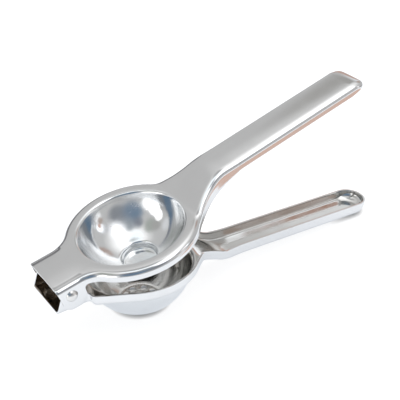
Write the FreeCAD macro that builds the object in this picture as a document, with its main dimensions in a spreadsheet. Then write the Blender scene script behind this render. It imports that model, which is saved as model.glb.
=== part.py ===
import FreeCAD, Part
import Sketcher
import os

# Hinged lemon squeezer: two pressed stainless arms and the two rivets that hinge them.
# Each arm is drawn flat about the hinge axis: X runs out along the handle, Z is up.
# The cup arm lies flat, so its base and the end of its handle stand on the table.
# The press arm and the rivets are then swung open by the opening angle.

SIZES = [
    ("gauge", 1.2, "thickness of both pressed sheets"),
    ("opening", 10.3, "angle between the arms as it stands, degrees"),
    ("bowl_centre", 46.9, "hinge axis to the middle of both bowls"),
    ("web_height", 7.45, "hinge axis up to the top face of the press arm"),
    ("ear_half", 16.3, "half the width over the two ears"),
    ("tab_front", 7.15, "hinge axis to the front edge of the tab"),
    ("ear_drop", 8.45, "hinge axis down to the bottom of an ear"),
    ("ear_front", 5.1, "hinge axis to the front bottom corner of an ear"),
    ("ear_back", 7.8, "hinge axis to the back edge of an ear"),
    ("ear_round", 5.2, "corner radius at the bottom of an ear"),
    ("ear_run_out", 2.4, "hollow radius from an ear into the flange"),
    ("press_ring", 37.5, "radius over the flange round the press bowl"),
    ("press_flange", 5.0, "depth of that flange from the top face"),
    ("shoulder", 3.4, "outside bend radius of the press arm"),
    ("tab_blend", 14.0, "hollow radius in plan from tab to ring"),
    ("press_neck", 40.0, "hollow radius in plan from ring to handle"),
    ("press_ball", 30.6, "inside radius of the press bowl"),
    ("press_mouth", 29.45, "radius of the press bowl at the top face"),
    ("press_lip", 1.8, "bend radius at the mouth of the press bowl"),
    ("nose_radius", 9.85, "inside radius of the round nose under the press bowl"),
    ("nose_depth", 25.4, "top face down to the floor of the nose"),
    ("nose_step", 0.8, "bend radius where the bowl steps down into the nose"),
    ("nose_round", 1.4, "inside corner radius of the nose floor"),
    ("crank_start", 77.0, "hinge axis to the first bend of both cranks"),
    ("crank_end", 98.8, "hinge axis to the second bend of both cranks"),
    ("press_crank", 10.9, "rise of the press arm in its crank"),
    ("press_tip", 205.2, "hinge axis to the end of the upper handle"),
    ("press_slope", 0.068, "rise of the upper handle for each millimetre"),
    ("press_grip", 12.15, "half the width of the upper handle"),
    ("grip_flange", 6.2, "depth of the upper handle's flange"),
    ("flange_bend", 80.0, "where the lower edge of the flange starts to rise"),
    ("flange_join", 113.0, "where it has caught up with the handle"),
    ("tip_run", 10.0, "length over which the flange gets shallow at the tip"),
    ("tip_flange", 4.0, "depth of the flange at the very tip"),
    ("press_corner", 5.0, "corner radius of the upper handle in plan"),
    ("crank_bend", 9.0, "bend radius where a crank leaves the bowl"),
    ("crank_ease", 26.0, "bend radius where a crank meets the handle"),
    ("ear_play", 0.15, "gap between an ear and the wall inside it"),
    ("floor_drop", 9.8, "hinge axis down to the underside of the cup arm"),
    ("rim_drop", 3.6, "hinge axis down to the rim of the cup arm"),
    ("floor_front", 8.45, "hinge axis to the front end of the floor"),
    ("wall_top", 4.1, "hinge axis up to the top of the hinge walls"),
    ("wall_front", 3.3, "hinge axis to the front of the wall top"),
    ("wall_back", 2.6, "hinge axis to the back of the wall top"),
    ("wall_foot", 8.3, "hinge axis to where the wall meets the rim"),
    ("wall_round", 2.8, "corner radius of the hinge walls"),
    ("wall_hollow", 2.0, "hollow radius from a hinge wall into the rim"),
    ("cup_ring", 35.2, "radius over the flange round the cup"),
    ("flank_start", 9.9, "hinge axis to the shoulders of the cup arm"),
    ("flank_half", 19.3, "half the width over those shoulders"),
    ("flank_angle", 30.0, "slant of the flank in plan, degrees"),
    ("flank_round", 3.0, "corner radius of the shoulders in plan"),
    ("flank_hollow", 1.5, "hollow radius from a hinge wall into a shoulder"),
    ("cup_neck", 66.0, "hollow radius in plan from ring to handle"),
    ("cup_bend", 2.2, "outside bend radius of the cup arm"),
    ("cup_ball", 30.0, "inside radius of the cup"),
    ("cup_ball_drop", 6.1, "hinge axis down to the centre of that ball"),
    ("cup_lip", 2.9, "bend radius at the mouth of the cup"),
    ("base_drop", 34.8, "hinge axis down to the table"),
    ("base_round", 8.0, "outside corner radius round the flat base"),
    ("cup_crank", 15.2, "fall of the cup arm in its crank"),
    ("rim_crank", 14.3, "fall of its rim in the crank"),
    ("cup_crease", 2.0, "inside bend radius where the cup arm's crank starts"),
    ("rim_ease", 12.0, "bend radius of the rim at the end of the crank"),
    ("cup_tip", 212.0, "hinge axis to the end of the lower handle"),
    ("cup_grip", 10.25, "half the width of the lower handle"),
    ("cup_corner", 9.5, "corner radius of the lower handle in plan"),
    ("hole_size", 3.2, "diameter of a strainer hole"),
    ("hole_circle", 8.4, "radius of the circle of strainer holes"),
    ("hole_count", 8, "strainer holes on the circle"),
    ("shank", 4.8, "diameter of a rivet"),
    ("shank_fit", 0.02, "radial room of a rivet in its ear"),
    ("shank_play", 0.05, "radial room of a rivet in the wall it turns in"),
    ("head_size", 6.6, "diameter of the domed head"),
    ("head_height", 1.9, "height of the domed head"),
    ("tail_size", 7.2, "diameter of the tail inside the hinge"),
    ("tail_thick", 1.0, "thickness of the tail"),
    ("tail_play", 0.12, "gap between the tail and the wall"),
]
# Half-open outlines and cutting tools reach this far past the arms.
BEYOND = 60.0
# Edges are picked to within this of a limit.
HAIR = 0.01
WALL_HALF = "ear_half - gauge - ear_play"

doc = FreeCAD.newDocument("lemon_squeezer")
sizes = doc.addObject("Spreadsheet::Sheet", "Sizes")
for row, (alias, value, note) in enumerate(SIZES, start=1):
    sizes.set(f"A{row}", note)
    sizes.set(f"B{row}", str(value))
    sizes.setAlias(f"B{row}", alias)
doc.recompute()


def cell(alias):
    """The number that a size holds."""
    return float(getattr(sizes, alias))


def sum_of(formula):
    """What a plain sum of sizes comes to."""
    total, sign = 0.0, 1.0
    for word in formula.split():
        if word in "+-":
            sign = 1.0 if word == "+" else -1.0
        else:
            total += sign * cell(word)
    return total


def of(text):
    """Write the sizes named in a formula the way the document reads them."""
    words = text.replace("(", "( ").replace(")", " )").split()
    aliases = {alias for alias, value, note in SIZES}
    return " ".join("Sizes." + word if word in aliases else word for word in words)


def origin_plane(body, role):
    """One of a body's own planes."""
    return next(item for item in body.Origin.OriginFeatures if item.Role == role)


def new_sketch(body, name, role):
    """An empty sketch on one of a body's own planes."""
    sketch = body.newObject("Sketcher::SketchObject", name)
    sketch.AttachmentSupport = [(origin_plane(body, role), "")]
    sketch.MapMode = "FlatFace"
    return sketch


def polygon(body, name, role, corners):
    """A closed outline of straight runs, with both places of each corner bound."""
    sketch = new_sketch(body, name, role)
    count = len(corners)
    start = [Part.LineSegment(FreeCAD.Vector(place, place * place, 0),
                              FreeCAD.Vector(place + 1, (place + 1) ** 2, 0))
             for place in range(count)]
    for line in start:
        sketch.addGeometry(line, False)
    for line in range(count):
        sketch.addConstraint(Sketcher.Constraint("Coincident", line, 2, (line + 1) % count, 1))
    for line, corner in enumerate(corners):
        for kind, formula in zip(("DistanceX", "DistanceY"), corner):
            bound = sketch.addConstraint(Sketcher.Constraint(kind, -1, 1, line, 1, 1.0))
            sketch.setExpression(f"Constraints[{bound}]", of(formula))
    return sketch


def disc(body, name, middle, radius):
    """A circle on the XY plane, with its middle on the X axis."""
    sketch = new_sketch(body, name, "XY_Plane")
    sketch.addGeometry(Part.Circle(FreeCAD.Vector(cell("bowl_centre"), 0, 0),
                                   FreeCAD.Vector(0, 0, 1), cell("cup_ring")), False)
    place = sketch.addConstraint(Sketcher.Constraint("DistanceX", -1, 1, 0, 3, 1.0))
    sketch.setExpression(f"Constraints[{place}]", of(middle))
    sketch.addConstraint(Sketcher.Constraint("PointOnObject", 0, 3, -1))
    size = sketch.addConstraint(Sketcher.Constraint("Radius", 0, 1.0))
    sketch.setExpression(f"Constraints[{size}]", of(radius))
    return sketch


def pad(body, sketch, name, length):
    """Thicken a sketch evenly to both sides of its plane."""
    feature = body.newObject("PartDesign::Pad", name)
    feature.Profile = sketch
    feature.SideType = "Symmetric"
    feature.setExpression("Length", of(length))
    doc.recompute()
    return feature


def edges_of(shape, wanted):
    """The names of the edges that a test picks out."""
    return [f"Edge{place}" for place, edge in enumerate(shape.Edges, start=1) if wanted(edge)]


def middle_of(edge):
    return edge.valueAt((edge.FirstParameter + edge.LastParameter) / 2)


def round_edges(body, name, wanted, radius):
    """Round the edges that a test picks out of a body as it stands."""
    base = body.Tip
    names = edges_of(base.Shape, wanted)
    if not names:
        raise RuntimeError(f"{body.Label}: no edge for {name}")
    feature = body.newObject("PartDesign::Fillet", name)
    feature.Base = (base, names)
    feature.setExpression("Radius", of(radius))
    doc.recompute()
    return feature


def upright_at(x, y, reach=0.6, shortest=5.0):
    """An upright edge that stands near a place in plan, on either side of the middle."""
    def wanted(edge):
        ends = [vertex.Point for vertex in edge.Vertexes]
        if len(ends) != 2 or (ends[0] - ends[1]).Length < shortest:
            return False
        level = (ends[0].x - ends[1].x) ** 2 + (ends[0].y - ends[1].y) ** 2 < HAIR
        return level and abs(ends[0].x - x) < reach and abs(abs(ends[0].y) - y) < reach
    return wanted


def across_at(x, z, reach=0.6, shortest=5.0):
    """An edge that runs across the arm at a place in the side view."""
    def wanted(edge):
        ends = [vertex.Point for vertex in edge.Vertexes]
        if len(ends) != 2 or abs(ends[0].y - ends[1].y) < shortest:
            return False
        middle = middle_of(edge)
        return abs(middle.x - x) < reach and abs(middle.z - z) < reach
    return wanted


def face_slant(face):
    """How much a face looks up or down: 0 for an upright wall, 1 for a level face."""
    low_u, high_u, low_v, high_v = face.ParameterRange
    return face.normalAt((low_u + high_u) / 2, (low_v + high_v) / 2).z


def bend_edges(shape, side, front):
    """The edges where the level face of an arm turns into its upright flange."""
    def wanted(edge):
        faces = shape.ancestorsOfType(edge, Part.Face)
        if len(faces) != 2 or middle_of(edge).x < front:
            return False
        slants = sorted((side * face_slant(face) for face in faces), key=abs)
        return abs(slants[0]) < 0.02 and slants[1] > 0.5
    return wanted


def common_body(body, tool, name):
    """Keep only what lies inside both the side view and the plan."""
    feature = body.newObject("PartDesign::Boolean", name)
    feature.Type = "Common"
    feature.setObjects([tool])
    doc.recompute()
    return feature


def cut(name, base, tool):
    feature = doc.addObject("Part::Cut", name)
    feature.Base = base
    feature.Tool = tool
    doc.recompute()
    return feature


def fuse(name, pieces):
    feature = doc.addObject("Part::MultiFuse", name)
    feature.Shapes = pieces
    feature.Refine = True
    doc.recompute()
    return feature


def cylinder(name, radius, length, place, across=False):
    """A cylinder whose sizes and place are bound, upright or lying across the arm."""
    feature = doc.addObject("Part::Cylinder", name)
    feature.setExpression("Radius", of(radius))
    feature.setExpression("Height", of(length))
    if across:
        turn = FreeCAD.Rotation(FreeCAD.Vector(1, 0, 0), -90)
        feature.Placement = FreeCAD.Placement(FreeCAD.Vector(), turn)
    for axis, formula in zip("xyz", place):
        feature.setExpression(f"Placement.Base.{axis}", of(formula))
    return feature


def ball(name, radius, height):
    """A ball over the middle of the bowls."""
    feature = doc.addObject("Part::Sphere", name)
    feature.setExpression("Radius", of(radius))
    feature.setExpression("Placement.Base.x", of("bowl_centre"))
    feature.setExpression("Placement.Base.z", of(height))
    return feature


def common(name, first, second):
    feature = doc.addObject("Part::Common", name)
    feature.Base = first
    feature.Tool = second
    doc.recompute()
    return feature


# Plan of an arm: ring, hinge end and handle, joined by hollow blends

def plan_form(name, inset, ring, hinge_half, hinge_front, grip_half, tip, corner, neck,
              flank=None, blend=None):
    """The plan as a tall block. inset is 0 for the outside of the sheet and gauge for its inside."""
    body = doc.addObject("PartDesign::Body", name)
    height = "2 * " + str(BEYOND)
    pad(body, disc(body, name + "_ring_sketch", "bowl_centre", f"{ring} - {inset}"), name + "_ring", height)
    half = f"{hinge_half} - {inset}"
    hinge = polygon(body, name + "_hinge_sketch", "XY_Plane", [
        (f"- {hinge_front}", f"- ( {half} )"), ("bowl_centre", f"- ( {half} )"),
        ("bowl_centre", half), (f"- {hinge_front}", half)])
    pad(body, hinge, name + "_hinge", height)
    grip = f"{grip_half} - {inset}"
    end = f"{tip} - {inset}"
    handle = polygon(body, name + "_handle_sketch", "XY_Plane", [
        ("bowl_centre", f"- ( {grip} )"), (end, f"- ( {grip} )"), (end, grip), ("bowl_centre", grip)])
    pad(body, handle, name + "_handle", height)
    wall = cell("gauge") if inset != "0" else 0.0
    if flank:
        reach = f"( {ring} - {inset} )"
        side_x = f"bowl_centre - {reach} * sin( flank_angle * 1deg )"
        side_y = f"{reach} * cos( flank_angle * 1deg )"
        start = f"flank_start + {inset}"
        plate = polygon(body, name + "_flank_sketch", "XY_Plane", [
            (start, f"- ( flank_half - {inset} )"), (side_x, f"- {side_y}"),
            (side_x, side_y), (start, f"flank_half - {inset}")])
        pad(body, plate, name + "_flank", height)
        round_edges(body, name + "_shoulders",
                    upright_at(cell("flank_start") + wall, cell("flank_half") - wall), f"{flank} - {inset}")
        round_edges(body, name + "_hollows",
                    upright_at(cell("flank_start") + wall, sum_of(hinge_half) - wall),
                    f"flank_hollow + {inset}")
    if blend:
        across = sum_of(hinge_half) - wall
        away = ((cell(ring) - wall) ** 2 - across ** 2) ** 0.5
        round_edges(body, name + "_tab_blend",
                    upright_at(cell("bowl_centre") - away, across), f"{blend} + {inset}")
    across = cell(grip_half) - wall
    away = ((cell(ring) - wall) ** 2 - across ** 2) ** 0.5
    round_edges(body, name + "_neck",
                upright_at(cell("bowl_centre") + away, across), f"{neck} + {inset}")
    round_edges(body, name + "_tip",
                upright_at(cell(tip) - wall, across), f"{corner} - {inset}")
    return body


# Press arm: side view, top line, lower edge and the ears

def press_form(name, inset):
    """The press arm as a solid block, its outside or what its inside takes away."""
    inner = inset != "0"
    body = doc.addObject("PartDesign::Body", name)
    top = f"web_height - {inset}"
    rise = f"web_height + press_crank - {inset}"
    end = f"press_tip - {inset}" if inner else "press_tip"
    end_top = f"{rise} + press_slope * ( press_tip - crank_end )"
    if inner:
        corners = [(f"- {BEYOND}", f"- {BEYOND}"), (f"- {BEYOND}", top), ("crank_start", top),
                   ("crank_end", rise), ("press_tip", end_top), ("press_tip", f"- {BEYOND}")]
    else:
        grip = "press_slope * ( {} - crank_end ) + web_height + press_crank - grip_flange"
        corners = [("- ear_front", "- ear_drop"), ("- tab_front", top), ("crank_start", top),
                   ("crank_end", rise), ("press_tip", end_top),
                   ("press_tip", f"{end_top} - tip_flange"),
                   ("press_tip - tip_run", grip.format("press_tip - tip_run")),
                   ("flange_join", grip.format("flange_join")),
                   ("flange_bend", "web_height - press_flange"),
                   ("ear_back", "web_height - press_flange"), ("ear_back", "- ear_drop")]
    side = polygon(body, name + "_side_sketch", "XZ_Plane", corners)
    pad(body, side, name + "_side", f"2 * {BEYOND}")
    wall = cell("gauge") if inner else 0.0
    flat = cell("web_height") - wall
    high = flat + cell("press_crank")
    round_edges(body, name + "_crank_bend", across_at(cell("crank_start"), flat), f"crank_bend + {inset}")
    round_edges(body, name + "_crank_ease", across_at(cell("crank_end"), high), f"crank_ease - {inset}")
    if not inner:
        round_edges(body, name + "_ear_round",
                    lambda edge: across_at(-cell("ear_front"), -cell("ear_drop"))(edge)
                    or across_at(cell("ear_back"), -cell("ear_drop"))(edge), "ear_round")
        round_edges(body, name + "_ear_run_out",
                    across_at(cell("ear_back"), cell("web_height") - cell("press_flange")), "ear_run_out")
    front = str(BEYOND) if inner else "tab_front"
    plan = plan_form(name + "_plan", inset, "press_ring", "ear_half", front, "press_grip",
                     "press_tip", "press_corner", "press_neck", blend="tab_blend")
    common_body(body, plan, name + "_trim")
    front_edge = -2 * BEYOND if inner else -cell("tab_front") + HAIR
    round_edges(body, name + "_bend", bend_edges(body.Tip.Shape, 1, front_edge), f"shoulder - {inset}")
    return body


# Cup arm: side view, floor line, rim and the two hinge walls

def cup_form(name, inset):
    """The cup arm as a solid block, its outside or what its inside takes away."""
    inner = inset != "0"
    body = doc.addObject("PartDesign::Body", name)
    floor = f"- floor_drop + {inset}"
    low = f"- floor_drop - cup_crank + {inset}"
    foot = f"- base_drop + {inset}"
    corners = [("crank_start", floor), ("crank_end", low), ("cup_tip", foot)]
    if inner:
        far = str(BEYOND)
        corners = [(f"- {far}", floor)] + corners + [("cup_tip", far), (f"- {far}", far)]
    else:
        rim_end = "rim_drop + rim_crank + base_drop - floor_drop - cup_crank"
        corners = [("- floor_front", floor)] + corners + [
            ("cup_tip", f"- ( {rim_end} )"), ("crank_end", "- rim_drop - rim_crank"),
            ("crank_start", "- rim_drop"), ("wall_foot", "- rim_drop"), ("wall_back", "wall_top"),
            ("- wall_front", "wall_top")]
    side = polygon(body, name + "_side_sketch", "XZ_Plane", corners)
    pad(body, side, name + "_side", f"2 * {BEYOND}")
    wall = cell("gauge") if inner else 0.0
    flat = -cell("floor_drop") + wall
    round_edges(body, name + "_crease", across_at(cell("crank_start"), flat), f"cup_crease + {inset}")
    round_edges(body, name + "_ease", across_at(cell("crank_end"), flat - cell("cup_crank")),
                f"crank_ease - {inset}")
    if not inner:
        rim = -cell("rim_drop")
        round_edges(body, name + "_rim_bend", across_at(cell("crank_start"), rim), "cup_crease")
        round_edges(body, name + "_rim_ease", across_at(cell("crank_end"), rim - cell("rim_crank")),
                    "rim_ease")
        round_edges(body, name + "_wall_hollow", across_at(cell("wall_foot"), rim), "wall_hollow")
        round_edges(body, name + "_wall_round",
                    lambda edge: across_at(cell("wall_back"), cell("wall_top"))(edge)
                    or across_at(-cell("wall_front"), cell("wall_top"))(edge), "wall_round")
    front = str(BEYOND) if inner else "floor_front"
    plan = plan_form(name + "_plan", inset, "cup_ring", WALL_HALF, front, "cup_grip",
                     "cup_tip", "cup_corner", "cup_neck", flank="flank_round")
    common_body(body, plan, name + "_trim")
    front_edge = -2 * BEYOND if inner else -cell("floor_front") + HAIR
    round_edges(body, name + "_bend", bend_edges(body.Tip.Shape, -1, front_edge), f"cup_bend - {inset}")
    return body


# Round parts over the middle of the bowls

def bowl_solid(name, ball_radius, ball_height, low, high, nose=None):
    """A ball kept between two levels, with a straight nose under it if it has one."""
    span = cylinder(name + "_span", f"{ball_radius} + 1", f"{high} - ( {low} )", ("bowl_centre", "0", low))
    body = common(name + "_round", ball(name + "_ball", ball_radius, ball_height), span)
    if nose:
        radius, floor = nose
        plug = cylinder(name + "_nose", radius, f"{ball_height} - ( {floor} )", ("bowl_centre", "0", floor))
        body = fuse(name + "_nosed", [body, common(name + "_plug", plug, cylinder(
            name + "_cap", f"{radius} + 1", f"{high} - ( {floor} )", ("bowl_centre", "0", floor)))])
    return body


def circle_edge(radius, height, reach=0.4):
    """A full circle round the middle of the bowls, found by its radius and level."""
    def wanted(edge):
        curve = edge.Curve
        if not isinstance(curve, Part.Circle) or abs(abs(curve.Axis.z) - 1) > 1e-6:
            return False
        middle = curve.Center
        return (abs(middle.x - cell("bowl_centre")) < 0.05 and abs(middle.y) < 0.05
                and abs(curve.Radius - radius) < reach and abs(middle.z - height) < reach)
    return wanted


def round_circles(name, base, rounds):
    """Round circles of a finished shape, each found by its radius and level."""
    feature = doc.addObject("Part::Fillet", name)
    feature.Base = base
    picked = []
    for radius, height, rounding in rounds:
        found = [place for place, edge in enumerate(base.Shape.Edges, start=1)
                 if circle_edge(radius, height)(edge)]
        if not found:
            raise RuntimeError(f"{name}: no circle of radius {radius:.2f} at {height:.2f}")
        picked += [(place, rounding, rounding) for place in found]
    feature.Edges = picked
    doc.recompute()
    return feature


def chord(ball_radius, away):
    """Radius of the circle that a level cuts from a ball, the level's distance from its middle given."""
    return (ball_radius ** 2 - away ** 2) ** 0.5


def across_hole(name, radius):
    """A hole right across both hinge walls, on the hinge axis."""
    return cylinder(name, radius, f"2 * {BEYOND}", ("0", f"- {BEYOND}", "0"), across=True)


def press_arm():
    """The upper arm: hollow handle and ring, the press bowl with its nose, and the rivet holes."""
    shell = cut("press_shell", press_form("press_outside", "0"), press_form("press_inside", "gauge"))
    middle = "( web_height + sqrt( press_ball ^ 2 - press_mouth ^ 2 ) )"
    outside = bowl_solid("press_bowl_outside", "( press_ball + gauge )", middle, f"- {BEYOND}", "web_height",
                         ("( nose_radius + gauge )", "( web_height - nose_depth - gauge )"))
    inside = bowl_solid("press_bowl_inside", "press_ball", middle, f"- {BEYOND}", "( web_height + 1 )",
                        ("nose_radius", "( web_height - nose_depth )"))
    bowl = cut("press_bowl", fuse("press_web", [shell, outside]), inside)
    gauge, top = cell("gauge"), cell("web_height")
    centre = top + chord(cell("press_ball"), cell("press_mouth"))
    nose, floor = cell("nose_radius"), top - cell("nose_depth")
    lip, step, corner = cell("press_lip"), cell("nose_step"), cell("nose_round")
    rounded = round_circles("press_rounded", bowl, [
        (cell("press_mouth"), top, lip),
        (chord(cell("press_ball") + gauge, centre - top + gauge), top - gauge, lip - gauge),
        (nose, centre - chord(cell("press_ball"), nose), step + gauge),
        (nose + gauge, centre - chord(cell("press_ball") + gauge, nose + gauge), step),
        (nose, floor, corner),
        (nose + gauge, floor - gauge, corner + gauge)])
    return cut("press_arm", rounded, across_hole("press_rivet_hole", "shank / 2 + shank_fit"))


def strainer_holes():
    """One hole in the middle of the cup's base and a circle of them round it."""
    depth = "4 * gauge"
    start = "- base_drop - gauge"
    holes = [cylinder("strainer_hole_middle", "hole_size / 2", depth, ("bowl_centre", "0", start))]
    for place in range(int(cell("hole_count"))):
        turn = f"( {place} * 360deg / hole_count )"
        holes.append(cylinder(f"strainer_hole_{place}", "hole_size / 2", depth,
                              (f"bowl_centre + hole_circle * cos( {turn} )",
                               f"hole_circle * sin( {turn} )", start)))
    return fuse("strainer_holes", holes)


def cup_arm():
    """The lower arm: hollow handle and ring, the strainer cup, and the rivet holes."""
    shell = cut("cup_shell", cup_form("cup_outside", "0"), cup_form("cup_inside", "gauge"))
    outside = bowl_solid("cup_outside_bowl", "( cup_ball + gauge )", "( - cup_ball_drop )",
                         "- base_drop", "( - floor_drop + gauge )")
    inside = bowl_solid("cup_inside_bowl", "cup_ball", "( - cup_ball_drop )",
                        "( - base_drop + gauge )", "( - floor_drop + 2 * gauge )")
    bowl = cut("cup_bowl", fuse("cup_ledge", [shell, outside]), inside)
    gauge, centre = cell("gauge"), -cell("cup_ball_drop")
    base, floor = -cell("base_drop"), -cell("floor_drop")
    lip, corner = cell("cup_lip"), cell("base_round")
    rounded = round_circles("cup_rounded", bowl, [
        (chord(cell("cup_ball"), floor + gauge - centre), floor + gauge, lip),
        (chord(cell("cup_ball") + gauge, floor - centre), floor, lip - gauge),
        (chord(cell("cup_ball"), base + gauge - centre), base + gauge, corner - gauge),
        (chord(cell("cup_ball") + gauge, base - centre), base, corner)])
    drilled = cut("cup_drilled", rounded, strainer_holes())
    return cut("cup_arm", drilled, across_hole("cup_rivet_hole", "shank / 2 + shank_play"))


def rivet(name, side):
    """A domed rivet through one ear and the wall inside it; side is 1 for the back, -1 for the front."""
    def along(near, far):
        """Where a stretch from near to far starts on this side of the arm, and its length."""
        return (near if side > 0 else f"- ( {far} )"), f"{far} - ( {near} )"
    tail_far = f"{WALL_HALF} - gauge - tail_play"
    pieces = []
    for part, radius, near, far in (
            ("tail", "tail_size / 2", f"{tail_far} - tail_thick", tail_far),
            ("shank", "shank / 2", f"{tail_far} - tail_thick / 2", "ear_half + head_height / 4")):
        start, length = along(near, far)
        pieces.append(cylinder(f"{name}_{part}", radius, length, ("0", start, "0"), across=True))
    dome = "( ( head_size ^ 2 / 4 + head_height ^ 2 ) / ( 2 * head_height ) )"
    top = doc.addObject("Part::Sphere", name + "_dome")
    top.setExpression("Radius", of(dome))
    top.setExpression("Placement.Base.y", of(f"{side} * ( ear_half + head_height - {dome} )"))
    start, length = along("ear_half", "ear_half + 2 * head_height")
    seat = cylinder(name + "_seat", "head_size", length, ("0", start, "0"), across=True)
    pieces.append(common(name + "_head", top, seat))
    return fuse(name, pieces)


lower = cup_arm()
upper = [press_arm(), rivet("rivet_front", -1), rivet("rivet_back", 1)]
pieces = [lower] + upper

# The whole tool stands on the table with the middle of its plan over the origin.
for piece in pieces:
    piece.setExpression("Placement.Base.x", of("( floor_front - cup_tip ) / 2"))
    piece.setExpression("Placement.Base.z", of("base_drop"))
for piece in upper:
    piece.Placement.Rotation = FreeCAD.Rotation(FreeCAD.Vector(0, 1, 0), -cell("opening"))
for piece in pieces:
    piece.Label = piece.Name
doc.recompute()

for item in doc.Objects:
    if "Invalid" in item.State or "Error" in item.State:
        raise RuntimeError(f"{item.Name} did not rebuild: {item.State}")
os.makedirs("parts", exist_ok=True)
for piece in pieces:
    shape = piece.Shape
    if shape.isNull() or not shape.isValid() or len(shape.Solids) != 1:
        raise RuntimeError(f"{piece.Label} is not one sound solid")
    shape.exportStep(f"parts/{piece.Label}.step")
    box = shape.optimalBoundingBox(False, False)
    print(f"{piece.Label}: {shape.Volume / 1000:.2f} cm3, x {box.XMin:.2f} to {box.XMax:.2f}, "
          f"y {box.YMin:.2f} to {box.YMax:.2f}, z {box.ZMin:.2f} to {box.ZMax:.2f}")
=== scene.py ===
# %% [markdown]
# # A hinged lemon squeezer in polished steel
# The real tool is two stainless sheets, each pressed into one arm, and two short rivets that
# hinge them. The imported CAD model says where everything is. This lesson builds finer
# meshes over it, because a mirror finish shows every flat facet, and then dresses them.

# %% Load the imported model
import math
from types import SimpleNamespace

import bpy
import bmesh
import numpy as np
from mathutils import Matrix, Vector


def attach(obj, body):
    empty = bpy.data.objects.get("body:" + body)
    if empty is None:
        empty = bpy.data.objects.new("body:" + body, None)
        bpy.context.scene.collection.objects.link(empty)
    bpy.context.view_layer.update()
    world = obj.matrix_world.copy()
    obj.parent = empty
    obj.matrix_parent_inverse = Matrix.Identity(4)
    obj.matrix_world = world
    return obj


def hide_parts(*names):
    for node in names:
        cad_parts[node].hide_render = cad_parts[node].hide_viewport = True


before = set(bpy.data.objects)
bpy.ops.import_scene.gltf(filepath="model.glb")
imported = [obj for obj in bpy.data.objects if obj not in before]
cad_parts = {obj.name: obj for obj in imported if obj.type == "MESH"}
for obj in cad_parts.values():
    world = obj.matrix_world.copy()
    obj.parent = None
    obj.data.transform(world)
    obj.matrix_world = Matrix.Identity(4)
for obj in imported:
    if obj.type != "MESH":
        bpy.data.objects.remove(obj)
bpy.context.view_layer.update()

# %% [markdown]
# All sizes below are millimetres in each arm's own flat drawing, as in the CAD source:
# X runs from the hinge along the handle, Z is up, and the hinge axis is at X = Z = 0.
# At the end a matrix puts the drawing in its place: the press arm swung open, both on the table.

# %% Where each arm's drawing lies
MM = 0.001
OPENING = math.radians(10.3)
HINGE = Vector((-101.775, 0.0, 34.8))
flat_place = Matrix.Scale(MM, 4) @ Matrix.Translation(HINGE)
open_place = flat_place @ Matrix.Rotation(-OPENING, 4, "Y")
print("hinge stands", round(HINGE.z, 1), "mm over the table")

# %% [markdown]
# Polished stainless has almost no colour of its own: what shows is the room in it. Its finish
# still has detail: a faint waviness, a haze that comes and goes, and hair-fine lines along the
# arm. All three are noise read at Object coordinates, so they stay with the piece when the arm
# swings. These two helpers add one noise texture and one bump to a material.

# %% Noise and bump helpers
def add_noise(tree, place, scale, detail):
    """A noise texture read at a place, such as Object coordinates; gives its strength."""
    noise = tree.nodes.new("ShaderNodeTexNoise")
    noise.inputs["Scale"].default_value = scale
    noise.inputs["Detail"].default_value = detail
    tree.links.new(place, noise.inputs["Vector"])
    return noise.outputs["Fac"]


def add_bump(tree, height, strength, distance, under=None):
    """A bump made by a height, laid over another bump's normal if there is one."""
    bump = tree.nodes.new("ShaderNodeBump")
    bump.inputs["Strength"].default_value = strength
    bump.inputs["Distance"].default_value = distance
    tree.links.new(height, bump.inputs["Height"])
    if under:
        tree.links.new(under, bump.inputs["Normal"])
    return bump.outputs["Normal"]


print("material helpers", add_noise.__name__, add_bump.__name__)

# %% [markdown]
# One function makes every steel in this tool. The haze sets the roughness, so some spots are
# sharp mirrors and others blur. The waviness bends reflections by a hair, as on any sheet that
# went over a polishing wheel by hand, and the lines are noise squeezed across the arm.

# %% Steel from its polishing marks
HAZE_SCALE, SWELL_SCALE, LINE_SCALE = 70, 45, 4
HAZE_LOW, HAZE_HIGH = 0.35, 0.68
LINE_DEPTH = 0.00002


def steel(name, paint, rough, wave, stretch, lines):
    """Steel with its polishing marks. paint gives its colour, rough is the least and most
    roughness, wave the height of its waviness in metres, stretch the scale of its lines along
    each axis and lines their strength."""
    material = bpy.data.materials.new(name)
    material.use_nodes = True
    tree = material.node_tree
    shader = tree.nodes["Principled BSDF"]
    shader.inputs["Metallic"].default_value = 1.0
    own = tree.nodes.new("ShaderNodeTexCoord").outputs["Object"]
    haze = add_noise(tree, own, HAZE_SCALE, 6)
    spread = tree.nodes.new("ShaderNodeMapRange")
    spread.inputs["From Min"].default_value = HAZE_LOW
    spread.inputs["From Max"].default_value = HAZE_HIGH
    spread.inputs["To Min"].default_value, spread.inputs["To Max"].default_value = rough
    tree.links.new(haze, spread.inputs["Value"])
    tree.links.new(spread.outputs["Result"], shader.inputs["Roughness"])
    tree.links.new(paint(tree, own, haze), shader.inputs["Base Color"])
    squeezed = tree.nodes.new("ShaderNodeMapping")
    squeezed.inputs["Scale"].default_value = stretch
    tree.links.new(own, squeezed.inputs["Vector"])
    swell = add_bump(tree, add_noise(tree, own, SWELL_SCALE, 1), 1.0, wave)
    fine = add_noise(tree, squeezed.outputs["Vector"], LINE_SCALE, 3)
    tree.links.new(add_bump(tree, fine, lines, LINE_DEPTH, swell), shader.inputs["Normal"])
    return material


print("lines are", LINE_DEPTH / MM, "mm deep")

# %% [markdown]
# The outside of both arms is polished along its length. The bowls are spun, so their marks run
# round and are rougher, and the rivets are turned. Stainless is a light grey that is almost
# neutral, so only a few hundredths part the red, green and blue of each tint.

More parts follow.
